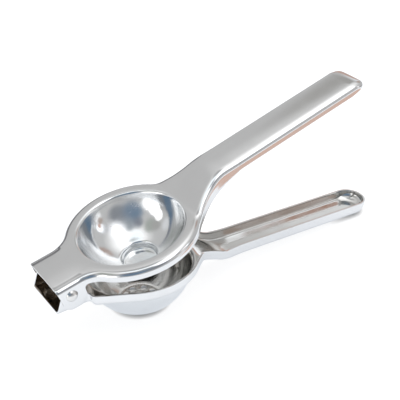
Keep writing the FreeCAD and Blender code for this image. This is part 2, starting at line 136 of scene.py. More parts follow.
# %% Polished, spun and turned steel
def clouded(tint):
    """Paint with the tint, and a little darker where the haze is thick."""
    def paint(tree, own, haze):
        cloud = tree.nodes.new("ShaderNodeMixRGB")
        cloud.inputs["Color1"].default_value = (*tint, 1)
        cloud.inputs["Color2"].default_value = (*(0.93 * share for share in tint), 1)
        tree.links.new(haze, cloud.inputs["Fac"])
        return cloud.outputs["Color"]
    return paint


ALONG_ARM = (12, 420, 420)
polished = steel("mirror_steel", clouded((0.765, 0.767, 0.77)), (0.09, 0.19), 0.00006, ALONG_ARM, 0.25)
spun = steel("spun_steel", clouded((0.805, 0.815, 0.82)), (0.05, 0.28), 0.00013, (160, 160, 420), 1.0)
rivet_paint = clouded((0.76, 0.75, 0.735))
rivet_steel = steel("turned_steel", rivet_paint, (0.20, 0.30), 0.00003, (200, 200, 200), 0.2)
print("finishes", polished.name, spun.name, rivet_steel.name)

# %% [markdown]
# The inner side of a pressing never meets the polishing wheel, so it is a duller grey, and its
# darker, warmer tint is also painted shade for the hollows it lines. Deep in the hinge box it
# is darker still: painted shade for light that goes from wall to wall many times before it
# comes out. A colour ramp along the arm's X draws that: brown-grey at the hinge end, plain grey from the
# cup on.

# %% Inner side of the sheets
HINGE_END_X, MID_X = -0.100, 0.0
# Painted shade: brown-grey deep in the hinge box, plain grey from the cup on.
hinge_shade_stops = [(0.06, (0.38, 0.33, 0.28)), (0.22, (0.70, 0.695, 0.68))]


def painted_hinge_shade(tree, own, haze):
    """Painted shade that goes from the hinge box's brown-grey to a plain grey along X, without haze."""
    split = tree.nodes.new("ShaderNodeSeparateXYZ")
    along_arm = tree.nodes.new("ShaderNodeMapRange")
    along_arm.inputs["From Min"].default_value = HINGE_END_X
    along_arm.inputs["From Max"].default_value = MID_X
    shade = tree.nodes.new("ShaderNodeValToRGB")
    for element, (place, colour) in zip(shade.color_ramp.elements, hinge_shade_stops):
        element.position = place
        element.color = (*colour, 1)
    tree.links.new(own, split.inputs[0])
    tree.links.new(split.outputs["X"], along_arm.inputs["Value"])
    tree.links.new(along_arm.outputs["Result"], shade.inputs["Fac"])
    return shade.outputs["Color"]


inner = steel("inner_steel", painted_hinge_shade, (0.07, 0.20), 0.00006, ALONG_ARM, 0.35)
print("inner side", inner.name, "with", len(inner.node_tree.nodes), "nodes")

# %% [markdown]
# A pressed arm has an outline made of straight runs and arcs. Each outline point keeps its
# outward normal, so the bends can be laid inside it at any distance without wobbling.

# %% Straight runs and arcs
def run(start, end, step):
    """Points along a straight run, with the normal on its left-hand side."""
    start, end = np.array(start, float), np.array(end, float)
    length = np.linalg.norm(end - start)
    along = (end - start) / length
    count = max(1, round(length / step))
    normal = np.array([-along[1], along[0]])
    return [(start + (end - start) * k / count, normal) for k in range(count + 1)]


def arc(middle, radius, first, last, hollow=False, step=4.0):
    """Points round an arc between two angles in degrees; a hollow arc has its normal inwards."""
    count = max(2, math.ceil(abs(last - first) / step))
    points = []
    for k in range(count + 1):
        angle = math.radians(first + (last - first) * k / count)
        away = np.array([math.cos(angle), math.sin(angle)])
        points.append((np.array(middle) + radius * away, -away if hollow else away))
    return points


print("a quarter round takes", len(arc((0, 0), 5.0, 0, 90)), "points")

# %% [markdown]
# Both sides of an arm are alike, so only one half of its outline is drawn, from the hinge end
# to the tip, and mirrored. Where the round of the bowl runs into the tab or into a handle, a
# hollow corner joins the two smoothly. Its middle follows from the two radii by Pythagoras.

# %% Whole outlines and hollow corners
BOWL = 46.9


def outline(*parts):
    """Join the parts of half an outline and mirror it, so it runs tab to tip and back."""
    half = []
    for part in parts:
        for point, normal in part:
            if not half or np.linalg.norm(point - half[-1][0]) > 1e-6:
                half.append((point, normal))
    flip = np.array([1.0, -1.0])
    back = [(point * flip, normal * flip) for point, normal in reversed(half) if abs(point[1]) > 1e-6]
    points = np.array([point for point, normal in half + back])
    normals = np.array([normal for point, normal in half + back])
    return points, normals


def hollow_corner(ring, half, radius, side):
    """The hollow arc between a ring and a straight run beside the axis; side is 1 or -1 along X.

    Gives its middle, the angle at which it touches the ring, and the ring's own angle there.
    """
    reach = math.sqrt((ring + radius) ** 2 - (half + radius) ** 2)
    middle = (BOWL + side * reach, half + radius)
    touch = math.degrees(math.atan2(-(half + radius), -side * reach))
    meet = math.degrees(math.atan2(half + radius, side * reach))
    return middle, touch, meet


print("both bowls are centred", BOWL, "mm from the hinge")

# %% [markdown]
# The side view of an arm is a line with bends in it: flat over the bowl, a crank, then the
# handle. Sheet can't turn a sharp corner, so each one is rounded. `side_line` hands back a
# function from X to Z, and `along` gives evenly spaced points of such a line.

# %% Side view with rounded corners
def rounded(corners, radii, steps):
    """A line through corners (x, z), each inner corner rounded by an arc of that many steps."""
    corners = [np.array(corner, float) for corner in corners]
    line = [corners[0]]
    for corner, radius, before, after in zip(corners[1:-1], radii, corners, corners[2:]):
        arrive = (corner - before) / np.linalg.norm(corner - before)
        leave = (after - corner) / np.linalg.norm(after - corner)
        turn = math.acos(max(-1, min(1, arrive @ leave)))
        inwards = (leave - arrive) / np.linalg.norm(leave - arrive)
        middle = corner + inwards * radius / math.cos(turn / 2)
        back = radius * math.tan(turn / 2)
        start, end = corner - arrive * back - middle, corner + leave * back - middle
        for k in range(steps + 1):
            to_end, to_start = math.sin(k / steps * turn), math.sin((1 - k / steps) * turn)
            line.append(middle + (start * to_start + end * to_end) / math.sin(turn))
    line.append(corners[-1])
    return np.array(line)


def side_line(corners, radii):
    """Height at any X of a line through the corners, each inner corner rounded."""
    line = rounded(corners, radii, 24)
    return lambda x: np.interp(x, line[:, 0], line[:, 1])


def along(corners, radii, count):
    """Evenly spaced points along a line through the corners, each inner corner rounded."""
    line = rounded(corners, radii, 12)
    far = np.concatenate([[0], np.cumsum(np.hypot(*np.diff(line, axis=0).T))])
    even = np.linspace(0, far[-1], count + 1)
    return np.column_stack([np.interp(even, far, line[:, 0]), np.interp(even, far, line[:, 1])])


step_line = side_line([(0, 0), (10, 0), (20, 4), (30, 4)], [5, 5])
print("half way up a step of 4 mm the line is at", round(float(step_line(15)), 3))

# %% [markdown]
# The lip of a bowl rolls round a small circle that touches the web on one side and the
# bowl's ball on the other. Near the crank the web already slopes, so the circle is found for
# each direction by halving: the lower it sits on the ball, the further it is from the web.

# %% Lip between a web and a ball
def lip_arc(web, ball, level, radius, direction, steps=5):
    """Arc points (r, z) from the web to the ball for one direction out of the bowl's middle.

    web gives the height at X; ball and level are the ball's radius and its middle's height.
    """
    fine_step = 0.04
    reach = np.arange(ball * 0.8, ball * 1.5, fine_step)
    height = web(BOWL + reach * math.cos(direction))
    low, high = math.radians(-80), math.radians(10)
    for halving in range(40):
        angle = (low + high) / 2
        spot = np.array([(ball + radius) * math.cos(angle), level + (ball + radius) * math.sin(angle)])
        gaps = np.hypot(reach - spot[0], height - spot[1])
        nearest = gaps.argmin()
        if spot[1] < height[nearest] and gaps[nearest] > radius:
            low = angle
        else:
            high = angle
    touch = np.array([reach[nearest], height[nearest]])
    on_ball = spot - radius * np.array([math.cos(angle), math.sin(angle)])
    first = math.atan2(*(touch - spot)[::-1])
    last = math.atan2(*(on_ball - spot)[::-1]) % (2 * math.pi)
    turns = [first + (last - first) * k / steps for k in range(steps + 1)]
    return [spot + radius * np.array([math.cos(turn), math.sin(turn)]) for turn in turns]


def round_rows(middle, radius, first, last, steps):
    """Profile points (r, z) round a circle between two angles, without the first of them."""
    turns = [first + (last - first) * k / steps for k in range(1, steps + 1)]
    return [np.array(middle) + radius * np.array([math.cos(turn), math.sin(turn)]) for turn in turns]


flat_lip = lip_arc(lambda x: 0 * x, 30.0, 5.0, 2.0, 0.0)
print("a 2 mm lip on a flat web starts", round(float(flat_lip[0][0]), 2), "mm from the bowl's middle")

# %% [markdown]
# Each arm is woven from patches that share their edge points: a ring of rays round the bowl,
# a grid over the hinge end, a grid over the handle, a bend and flange along the outline, and
# the lathe-turned bowl. `Weave` keeps the points and merges the shared ones at the end.

# %% A mesh woven from grids
class Weave:
    """Points and faces of one sheet, collected patch by patch."""

    def __init__(self):
        self.points, self.faces, self.zones = [], [], []

    def grid(self, rows, zone):
        """Quads between neighbouring rows of points; all the rows are equally long."""
        start = len(self.points)
        width = len(rows[0])
        for row in rows:
            self.points.extend(row)
        for r in range(len(rows) - 1):
            for c in range(width - 1):
                a = start + r * width + c
                self.faces.append((a, a + 1, a + width + 1, a + width))
                self.zones.append(zone)

    def fan(self, middle, rim, zone):
        """Triangles from a middle point to each run of a rim."""
        start = len(self.points)
        self.points.append(middle)
        self.points.extend(rim)
        for k in range(len(rim) - 1):
            self.faces.append((start, start + 1 + k, start + 2 + k))
            self.zones.append(zone)

    def mesh(self, name, place):
        """One mesh with shared points merged and every face turned outwards together."""
        data = bpy.data.meshes.new(name)
        data.from_pydata([tuple(map(float, point)) for point in self.points], [], self.faces)
        layer = data.attributes.new("zone", "INT", "FACE")
        layer.data.foreach_set("value", self.zones)
        work = bmesh.new()
        work.from_mesh(data)
        bmesh.ops.remove_doubles(work, verts=work.verts, dist=0.004)
        bmesh.ops.dissolve_degenerate(work, edges=work.edges, dist=0.002)
        bmesh.ops.recalc_face_normals(work, faces=work.faces)
        bmesh.ops.transform(work, matrix=place, verts=work.verts)
        work.to_mesh(data)
        work.free()
        for face in data.polygons:
            face.use_smooth = True
        return data


def blend_row(start, end, count):
    """Evenly spaced points from one point to another, with both of them."""
    return [np.array(start) + (np.array(end) - np.array(start)) * k / count for k in range(count + 1)]


swatch = Weave()
swatch.grid([blend_row((0, 0, 0), (4, 0, 0), 4), blend_row((0, 1, 0), (4, 1, 0), 4)], 0)
print("two rows of five points make", len(swatch.faces), "faces")

# %% [markdown]
# Both arms follow the same recipe, one pressed downwards and one pressed upwards, so the same
# functions weave either of them from a record of its numbers. Faces are numbered by zone, so
# that a material can tell a spun bowl from a polished web. The record also works out where
# the flat face ends and its bend begins, all round the outline.

# %% An arm's record
WEB, FLANGE, SPUN = 0, 1, 2
LANES = 12
CROWN_WIDTH = 12.0


def arm_record(**numbers):
    """An arm's own numbers, with what follows from them.

    points, normals: its outline. web, edge: the heights at X of its flat face and of its
    flange's free edge. side: -1 where the flange hangs down, 1 where it stands up. bend: the
    bend's radius. tip: how much further the bend reaches at X near the handle's end. crown:
    how far the face curves over at X by 12 mm from its middle. split: the X places that part
    hinge end, ring and handle. folds: the X places where the web bends. slant: how far the
    hinge end's front edge moves with height. plate, hole: the X up to which the flange is a
    hinge plate, and its hole's radius. hollow_x, hollow_foot, free_edge, free_radii: the way
    from the flange round the plate's free edge. ball, level, lip, bowl_rows: the bowl's
    radius, its middle's height, its lip's radius, and the profile below a point of the ball.
    """
    arm = SimpleNamespace(**numbers)
    arm.cloth = Weave()
    across = arm.points[:, 0]
    tip_reach = arm.tip(across)
    arm.inner = arm.points - arm.bend * arm.normals - np.column_stack([tip_reach, 0 * tip_reach])
    depth = np.abs(arm.edge(across) - arm.web(across))
    arm.drop = np.minimum(arm.bend + tip_reach * arm.normals[:, 0], depth - 0.3)
    arm.last, half = len(arm.points) - 1, len(arm.points) // 2
    arm.tab = next(k for k in range(half) if arm.inner[k][0] >= arm.split[0])
    arm.neck = max(k for k in range(half) if arm.inner[k][0] <= arm.split[1])
    straight = [k for k in range(arm.neck, half) if abs(arm.inner[k][1] - arm.inner[k - 1][1]) < 1e-6]
    arm.corner = max(straight)
    arm.plate_end = next(k for k in range(half) if arm.points[k][0] >= arm.plate)
    return arm


def on_web(arm, spot):
    """The point of the face at a spot (x, y), moved towards the flange by the crown."""
    away = min(abs(spot[1]), CROWN_WIDTH + 1) / CROWN_WIDTH
    return np.array([spot[0], spot[1], arm.web(spot[0]) + arm.side * arm.crown(spot[0]) * away ** 2])


print("zones", {"web": WEB, "flange": FLANGE, "spun bowl": SPUN})

# %% [markdown]
# The hinge end and the handle are long and straight, so rows of points across them are
# enough. The handle's far end is round: its last row follows the end of the outline.

# %% Hinge end and handle
def weave_web(arm):
    """Rows of quads across the hinge end and across the handle."""
    inner, last = arm.inner, arm.last

    def row(k, lanes):
        return [on_web(arm, spot) for spot in blend_row(inner[k], inner[last - k], lanes)]

    arm.cloth.grid([row(k, LANES) for k in range(arm.tab + 1)], WEB)
    end = [on_web(arm, inner[k]) for k in range(arm.corner, last - arm.corner + 1)]
    arm.grip_lanes = len(end) - 1
    arm.cloth.grid([row(k, arm.grip_lanes) for k in range(arm.neck, arm.corner + 1)] + [end], WEB)


print("rows across the hinge end have", LANES, "lanes")

# %% [markdown]
# Round the bowl the sheet is drawn in from every side. Rays run from the bowl's lip out to
# the bend. Each ray is cut where the web folds, because a quad that spans a fold would show
# as a flat spot in the mirror. The same directions carry the bowl's own profile downwards.

# %% Ring and bowl
def weave_ring(arm):
    """Rays from the lip to the bend, and the bowl below the lip; keeps the bowl's columns."""
    inner, last, tab, neck = arm.inner, arm.last, arm.tab, arm.neck
    rim = [inner[k] for k in range(tab, neck + 1)]
    rim += blend_row(inner[neck], inner[last - neck], arm.grip_lanes)[1:]
    rim += [inner[k] for k in range(last - neck + 1, last - tab + 1)]
    rim += blend_row(inner[last - tab], inner[tab], LANES)[1:]
    rays, arm.bowl_columns = [], []
    for spot in rim:
        direction = math.atan2(spot[1], spot[0] - BOWL)
        profile = lip_arc(arm.web, arm.ball, arm.level, arm.lip, direction)
        profile += arm.bowl_rows(profile[-1])
        away, aside = math.cos(direction), math.sin(direction)
        column = [np.array([BOWL + r * away, r * aside, z]) for r, z in profile]
        start, length = column[0], spot[0] - column[0][0]
        cuts = [(fold - start[0]) / length if length > 1e-6 else 1.0 for fold in arm.folds]
        cuts = [min(1.0, max(0.0, cut)) for cut in cuts] + [1.0]
        rays.append([start] + [on_web(arm, start[:2] + (spot - start[:2]) * cut) for cut in cuts])
        arm.bowl_columns.append(column)
    arm.cloth.grid([list(row) for row in zip(*rays)], WEB)
    arm.cloth.grid([list(row) for row in zip(*arm.bowl_columns)], SPUN)


print("a ray meets the bowl at its lip, which rolls in", len(flat_lip) - 1, "steps")

# %% [markdown]
# All round the outline the sheet turns through a quarter bend and runs on as a flange, which
# makes thin steel stiff. Seven points on an arc draw the bend. At the hinge end the whole
# bend also leans, because the tab's front edge slants.

# %% Bend and flange
BEND_STEPS = 6


def bend_column(arm, k):
    """Points of the quarter bend at outline point k, from the web to the flange."""
    rim, inner = arm.points[k], arm.inner[k]
    crowned = abs(on_web(arm, rim)[2] - arm.web(rim[0]))
    lean = max(0.0, 1 - min(k, arm.last - k) / arm.tab)
    column = []
    for step in range(BEND_STEPS + 1):
        turn = math.radians(90 / BEND_STEPS * step)
        spot = on_web(arm, inner + (rim - inner) * math.sin(turn))
        spot[2] += arm.side * (arm.drop[k] - crowned) * (1 - math.cos(turn))
        spot[0] += arm.slant(spot[2]) * lean
        column.append(spot)
    return column


def weave_flange(arm):
    """The bend all round, and the flange beyond it, from the hinge plates on."""
    arm.bends = [bend_column(arm, k) for k in range(arm.last + 1)]
    feet = [column[-1] for column in arm.bends]
    arm.flanges = [blend_row(foot, (foot[0], foot[1], arm.edge(foot[0])), 4) for foot in feet]
    arm.cloth.grid(arm.bends, FLANGE)
    arm.cloth.grid(arm.flanges[arm.plate_end:arm.last - arm.plate_end + 1], FLANGE)


print("a bend has", BEND_STEPS, "steps of", 90 // BEND_STEPS, "degrees")

# %% [markdown]
# At the hinge end the flange is a plate with a rivet hole: the press arm's ears, the cup arm's
# walls. A hole in a grid of quads is easiest as rings that shrink from the plate's outline to
# the round hole, so the outline is walked once, and drawn in on both sides of the arm.

# %% Hinge plates
def ring_plate(arm, loop, lift):
    """Rings from a closed loop of side-view points (x, z) in to the round hole at the hinge."""
    loop = np.array(loop)
    turns = np.unwrap(np.arctan2(loop[:, 1], loop[:, 0]))
    way = 1 if turns[-1] > turns[0] else -1
    for k in range(1, len(turns) - 1):
        turns[k] = way * max(way * turns[k], way * turns[k - 1] + 0.004)
    round_hole = arm.hole * np.column_stack([np.cos(turns), np.sin(turns)])
    rings = [loop + (round_hole - loop) * r / 5 for r in range(6)]
    arm.cloth.grid([[lift(x, z) for x, z in ring] for ring in rings], FLANGE)


def weave_plates(arm):
    """Both hinge plates: along the bend, down the flange, round the free edge and back."""
    top = [column[-1] for column in arm.bends[:arm.plate_end + 1]]
    loop = [(p[0], p[2]) for p in top] + [(p[0], p[2]) for p in arm.flanges[arm.plate_end][1:]]
    loop += [(x, float(arm.edge(x))) for x in np.linspace(loop[-1][0], arm.hollow_x, 7)[1:]]
    loop.append(arm.hollow_foot)
    free = along([arm.hollow_foot, *arm.free_edge, loop[0]], arm.free_radii, 48)
    loop += [tuple(p) for p in free[1:]]
    xs, ys = [p[0] for p in top], [p[1] for p in top]
    for hand in (1, -1):
        ring_plate(arm, loop, lambda x, z: np.array([x, hand * np.interp(x, xs, ys), z]))


def weave_arm(arm):
    """The whole arm but for the flat at the bottom of its bowl."""
    for weave_part in (weave_web, weave_ring, weave_flange, weave_plates):
        weave_part(arm)
        print(weave_part.__name__, "so far", len(arm.cloth.faces), "faces")


# %% [markdown]
# The press arm is drawn by its top face. Its web is flat over the bowl, then cranks up into
# the handle, which rises a little all the way to the tip. The flange's free edge lies 5 mm
# below the web round the bowl and 6.2 mm below it along the handle, which stiffens the grip.

# %% Press arm: side view
WEB_TOP = 7.45
CRANK_START, CRANK_END = 77.0, 98.8
PRESS_RISE, PRESS_SLOPE, PRESS_TIP = 10.9, 0.068, 205.2
EAR_BOTTOM, EAR_FRONT, EAR_BACK, EAR_HOLLOW = -8.45, -5.1, 7.8, 2.4
FLANGE_DROP, GRIP_DROP, TIP_DROP = 5.0, 6.2, 4.0
FLANGE_EDGE = WEB_TOP - FLANGE_DROP


def grip_top(x):
    """Height of the upper handle's top face."""
    return WEB_TOP + PRESS_RISE + PRESS_SLOPE * (x - CRANK_END)


press_web = side_line([(-20, WEB_TOP), (CRANK_START, WEB_TOP), (CRANK_END, grip_top(CRANK_END)),
                       (215, grip_top(215))], [9.0, 26.0])
press_edge = side_line([(EAR_BACK - 0.01, EAR_BOTTOM), (EAR_BACK, FLANGE_EDGE), (80.0, FLANGE_EDGE),
                        (113.0, grip_top(113.0) - GRIP_DROP), (195.2, grip_top(195.2) - GRIP_DROP),
                        (PRESS_TIP + 0.01, grip_top(PRESS_TIP) - TIP_DROP)], [EAR_HOLLOW, 0.5, 0.5, 0.5])
print("handle's top face at the tip", round(grip_top(PRESS_TIP), 2), "mm over the hinge")

# %% [markdown]
# From above, the arm is a narrow tab, a ring round the bowl, a waist and a handle. Only a few
# widths and radii are set; the hollow corners work out by themselves where they touch.

# %% Press arm: outline
TAB_FRONT, TAB_HALF, TAB_CORNER = -7.15, 16.3, 14.0
PRESS_RING, PRESS_NECK, PRESS_HALF, TIP_CORNER = 37.5, 40.0, 12.15, 5.0
tab_middle, tab_touch, tab_meet = hollow_corner(PRESS_RING, TAB_HALF, TAB_CORNER, -1)
neck_middle, neck_touch, neck_meet = hollow_corner(PRESS_RING, PRESS_HALF, PRESS_NECK, 1)
tip_middle = (PRESS_TIP - TIP_CORNER, PRESS_HALF - TIP_CORNER)
press_points, press_normals = outline(
    run((TAB_FRONT, TAB_HALF), (tab_middle[0], TAB_HALF), 1.6),
    arc(tab_middle, TAB_CORNER, -90, tab_touch, hollow=True),
    arc((BOWL, 0), PRESS_RING, tab_meet, neck_meet, step=2.0),
    arc(neck_middle, PRESS_NECK, neck_touch, -90, hollow=True, step=2.0),
    run((neck_middle[0], PRESS_HALF), (tip_middle[0], PRESS_HALF), 2.0),
    arc(tip_middle, TIP_CORNER, 90, 0, step=15),
    run((PRESS_TIP, tip_middle[1]), (PRESS_TIP, 0.0), 2.4))
print("press arm's outline has", len(press_points), "points")

# %% [markdown]
# The press bowl is a deep ball with a flat round nose pushed further down, which drives the
# last juice out of the fruit. A soft hollow step joins the ball to the nose's wall.

# %% Press arm: bowl profile
PRESS_BALL, PRESS_MOUTH = 30.6, 29.45
STEP_RADIUS, NOSE_HALF, NOSE_CORNER, NOSE_DEPTH = 2.0, 9.85, 1.4, 25.4
press_level = WEB_TOP + math.sqrt(PRESS_BALL ** 2 - PRESS_MOUTH ** 2)
nose_floor = WEB_TOP - NOSE_DEPTH
step_out = NOSE_HALF + STEP_RADIUS
step_middle = (step_out, press_level - math.sqrt((PRESS_BALL + STEP_RADIUS) ** 2 - step_out ** 2))


def press_profile(start):
    """Ball, step, nose wall and nose corner below a point of the lip."""
    on_ball = math.atan2(start[1] - press_level, start[0])
    step_angle = math.atan2(step_middle[1] - press_level, step_middle[0])
    rows = round_rows((0, press_level), PRESS_BALL, on_ball, step_angle, 22)
    rows += round_rows(step_middle, STEP_RADIUS, step_angle + math.pi, math.pi, 5)
    nose_middle = (NOSE_HALF - NOSE_CORNER, nose_floor + NOSE_CORNER)
    return rows + round_rows(nose_middle, NOSE_CORNER, 0, -math.pi / 2, 5)


print("the nose reaches", round(-nose_floor, 2), "mm below the hinge")

# %% [markdown]
# With its lines drawn, the arm is woven and its nose closed with a fan. The crown is a slight
# roll of the tab and of the handle across their width: without it, a flat mirror would show
# one even tone from end to end.

# %% Press arm: weave
EAR_HOLE = 2.42
press = arm_record(
    points=press_points, normals=press_normals, web=press_web, edge=press_edge, side=-1,
    bend=3.4, tip=lambda x: np.interp(x, [184, 199], [0, 5.4]),
    crown=lambda x: np.interp(x, [6, 18, 88, 112], [0.45, 0, 0, 0.8]),
    split=(10.0, 84.0), folds=[CRANK_START + 0.7 * k for k in range(-3, 4)] + [81.0],
    slant=lambda z: (WEB_TOP - z) / (WEB_TOP - EAR_BOTTOM) * (EAR_FRONT - TAB_FRONT),
    plate=EAR_BACK + 0.1, hole=EAR_HOLE,
    hollow_x=EAR_BACK + 0.02, hollow_foot=(EAR_BACK, FLANGE_EDGE - EAR_HOLLOW),
    free_edge=[(EAR_BACK, EAR_BOTTOM), (EAR_FRONT, EAR_BOTTOM)], free_radii=[5.2, 5.2],
    ball=PRESS_BALL, level=press_level, lip=1.8, bowl_rows=press_profile)
weave_arm(press)
press.cloth.fan((BOWL, 0, nose_floor), [column[-1] for column in press.bowl_columns], SPUN)
press_sheet = press.cloth.mesh("press_sheet", open_place)
print("press sheet", len(press_sheet.vertices), "points,", len(press_sheet.polygons), "faces")

# %% [markdown]
# The cup arm is drawn by its underside, which is its outer side. Its flange stands up all
# round, and at the hinge end it becomes the two walls of the hinge box. The handle slopes down
# until its tip touches the table.

# %% Cup arm: side view
FLOOR, RIM, BASE = -9.8, -3.6, -34.8
CUP_DROP, RIM_DROP, RIM_FALL, CUP_TIP = 15.2, 14.3, 9.84, 212.0
WALL_TOP, WALL_FRONT, WALL_HALF, WALL_END = 4.1, -8.45, 14.95, 8.4
cup_web = side_line([(-20, FLOOR), (CRANK_START, FLOOR), (CRANK_END, FLOOR - CUP_DROP), (CUP_TIP, BASE),
                     (230, BASE - 1.56)], [2.0, 26.0, 0.01])
cup_edge = side_line([(2.6, WALL_TOP), (8.3, RIM), (CRANK_START, RIM), (CRANK_END, RIM - RIM_DROP),
                      (212.5, RIM - RIM_DROP - RIM_FALL)], [2.0, 2.0, 12.0])
print("rim stands", round(float(cup_edge(BOWL) - cup_web(BOWL)), 2), "mm over the cup's web")

# %% [markdown]
# From above, the hinge box is a straight channel. A small shoulder leads to two flat flanks
# that touch the ring, and on the far side a long hollow corner runs into the handle.

# %% Cup arm: outline
CUP_RING, CUP_NECK, CUP_HALF, CUP_ROUND = 35.2, 66.0, 10.25, 9.5
WALL_CORNER, SHOULDER_HALF, SHOULDER_CORNER = 1.5, 19.3, 3.0
cup_neck, cup_touch, cup_meet = hollow_corner(CUP_RING, CUP_HALF, CUP_NECK, 1)
slope = math.radians(30)
flank_end = (BOWL - CUP_RING * math.sin(slope), CUP_RING * math.cos(slope))
shoulder_x = WALL_END + WALL_CORNER
shoulder_y = SHOULDER_HALF + SHOULDER_CORNER * math.tan(slope) - SHOULDER_CORNER / math.cos(slope)
shoulder_middle = (shoulder_x + SHOULDER_CORNER, shoulder_y)
flank_start = (shoulder_middle[0] - SHOULDER_CORNER * math.sin(slope),
               shoulder_middle[1] + SHOULDER_CORNER * math.cos(slope))
round_middle = (CUP_TIP - CUP_ROUND, CUP_HALF - CUP_ROUND)
cup_points, cup_normals = outline(
    run((WALL_FRONT, WALL_HALF), (WALL_END, WALL_HALF), 1.3),
    arc((WALL_END, WALL_HALF + WALL_CORNER), WALL_CORNER, -90, 0, hollow=True, step=15),
    run((shoulder_x, WALL_HALF + WALL_CORNER), (shoulder_x, shoulder_y), 1.0),
    arc(shoulder_middle, SHOULDER_CORNER, 180, 120, step=10),
    run(flank_start, flank_end, 1.6),
    arc((BOWL, 0), CUP_RING, 120, cup_meet, step=2.0),
    arc(cup_neck, CUP_NECK, cup_touch, -90, hollow=True, step=1.5),
    run((cup_neck[0], CUP_HALF), (round_middle[0], CUP_HALF), 2.0),
    arc(round_middle, CUP_ROUND, 90, 0, step=10),
    run((CUP_TIP, round_middle[1]), (CUP_TIP, 0.0), 0.8))
print("cup arm's outline has", len(cup_points), "points")

# %% [markdown]
# The cup is a ball too, with a wide soft corner round its flat base, on which the squeezer
# stands. The same recipe weaves the arm, with its flange up instead of down.

# %% Cup arm: weave
CUP_BALL, CUP_LEVEL, BASE_CORNER = 31.2, -6.1, 8.0
WALL_HOLE = 2.45
corner_z = BASE + BASE_CORNER
corner_reach = math.sqrt((CUP_BALL - BASE_CORNER) ** 2 - (corner_z - CUP_LEVEL) ** 2)


def cup_profile(start):
    """Ball and base corner of the cup's outside, below a point of the lip."""
    on_ball = math.atan2(start[1] - CUP_LEVEL, start[0])
    corner_angle = math.atan2(corner_z - CUP_LEVEL, corner_reach)
    rows = round_rows((0, CUP_LEVEL), CUP_BALL, on_ball, corner_angle, 22)
    return rows + round_rows((corner_reach, corner_z), BASE_CORNER, corner_angle, -math.pi / 2, 8)


cup = arm_record(
    points=cup_points, normals=cup_normals, web=cup_web, edge=cup_edge, side=1,
    bend=2.2, tip=lambda x: np.interp(x, [190, 202], [0, 6.6]),
    crown=lambda x: np.interp(x, [88, 112], [0, 0.4]),
    split=(7.0, 84.0), folds=[CRANK_START + 0.3 * k for k in range(-2, 3)] + [80.0],
    slant=lambda z: (z - FLOOR) / (WALL_TOP - FLOOR) * 5.15,
    plate=WALL_END - 0.01, hole=WALL_HOLE, hollow_x=7.72, hollow_foot=(7.70, -2.79),
    free_edge=[(2.6, WALL_TOP), (-3.3, WALL_TOP)], free_radii=[2.8, 2.8],
    ball=CUP_BALL, level=CUP_LEVEL, lip=1.7, bowl_rows=cup_profile)
weave_arm(cup)
print("cup sheet so far", len(cup.cloth.points), "points")

# %% [markdown]
# A ring of round strainer holes in the flat base lets the juice out. Copies on a circle are
# what Geometry Nodes do well: a tree is a small program with named inputs, and changing the
# number of holes is changing one of them. These helpers start a tree, end it and run it.

# %% Start and run a geometry tree
def new_tree(name, inputs):
    """A geometry tree with named number inputs; gives the tree and its input and output nodes."""
    tree = bpy.data.node_groups.new(name, "GeometryNodeTree")
    tree.interface.new_socket("Geometry", in_out="INPUT", socket_type="NodeSocketGeometry")
    for label, kind, value in inputs:
        socket = tree.interface.new_socket(label, in_out="INPUT", socket_type=kind)
        socket.default_value = value
    tree.interface.new_socket("Geometry", in_out="OUTPUT", socket_type="NodeSocketGeometry")
    tree.is_modifier = True
    return tree, tree.nodes.new("NodeGroupInput"), tree.nodes.new("NodeGroupOutput")


def end_tree(tree, geometry, outlet, material):
    """Every tree ends alike: copies become real, and the material goes on."""
    real = tree.nodes.new("GeometryNodeRealizeInstances")
    finish = tree.nodes.new("GeometryNodeSetMaterial")
    finish.inputs["Material"].default_value = material
    tree.links.new(geometry, real.inputs["Geometry"])
    tree.links.new(real.outputs["Geometry"], finish.inputs["Geometry"])
    tree.links.new(finish.outputs["Geometry"], outlet.inputs["Geometry"])


def made_by(tree, name, values, drawn=None):
    """Run a tree with its inputs set, on a drawn mesh if it has one, and hand back a plain mesh."""
    carrier = bpy.data.objects.new(name, drawn or bpy.data.meshes.new(name))
    bpy.context.scene.collection.objects.link(carrier)
    modifier = carrier.modifiers.new(name, "NODES")
    modifier.node_group = tree
    for socket in tree.interface.items_tree:
        if socket.in_out == "INPUT" and socket.name in values:
            modifier[socket.identifier] = values[socket.name]
    bpy.context.view_layer.update()
    ready = carrier.evaluated_get(bpy.context.evaluated_depsgraph_get())
    data = bpy.data.meshes.new_from_object(ready)
    bpy.data.objects.remove(carrier)
    data.name = name
    return data


print("tree helpers", new_tree.__name__, end_tree.__name__, made_by.__name__)

# %% [markdown]
# Nine small holes could be cut with booleans, but those leave long thin faces that a mirror
# shows. The tree draws the holes' edges instead: one small circle on each point of a larger
# circle, and one more in the middle.

# %% Strainer holes
HOLE_RING, HOLE, HOLES = 8.4, 1.6, 8
holes_tree, inlet, outlet = new_tree("strainer_holes", [
    ("Circle radius", "NodeSocketFloat", HOLE_RING), ("Hole radius", "NodeSocketFloat", HOLE),
    ("Holes", "NodeSocketInt", HOLES)])
wire = holes_tree.links.new
spots = holes_tree.nodes.new("GeometryNodeMeshCircle")
hole = holes_tree.nodes.new("GeometryNodeMeshCircle")
hole.inputs["Vertices"].default_value = 28
copies = holes_tree.nodes.new("GeometryNodeInstanceOnPoints")
all_holes = holes_tree.nodes.new("GeometryNodeJoinGeometry")
wire(inlet.outputs["Circle radius"], spots.inputs["Radius"])
wire(inlet.outputs["Holes"], spots.inputs["Vertices"])
wire(inlet.outputs["Hole radius"], hole.inputs["Radius"])
wire(spots.outputs["Mesh"], copies.inputs["Points"])
wire(hole.outputs["Mesh"], copies.inputs["Instance"])
wire(copies.outputs["Instances"], all_holes.inputs["Geometry"])
wire(hole.outputs["Mesh"], all_holes.inputs["Geometry"])
end_tree(holes_tree, all_holes.outputs["Geometry"], outlet, spun)
hole_values = {"Circle radius": HOLE_RING, "Hole radius": HOLE, "Holes": HOLES}
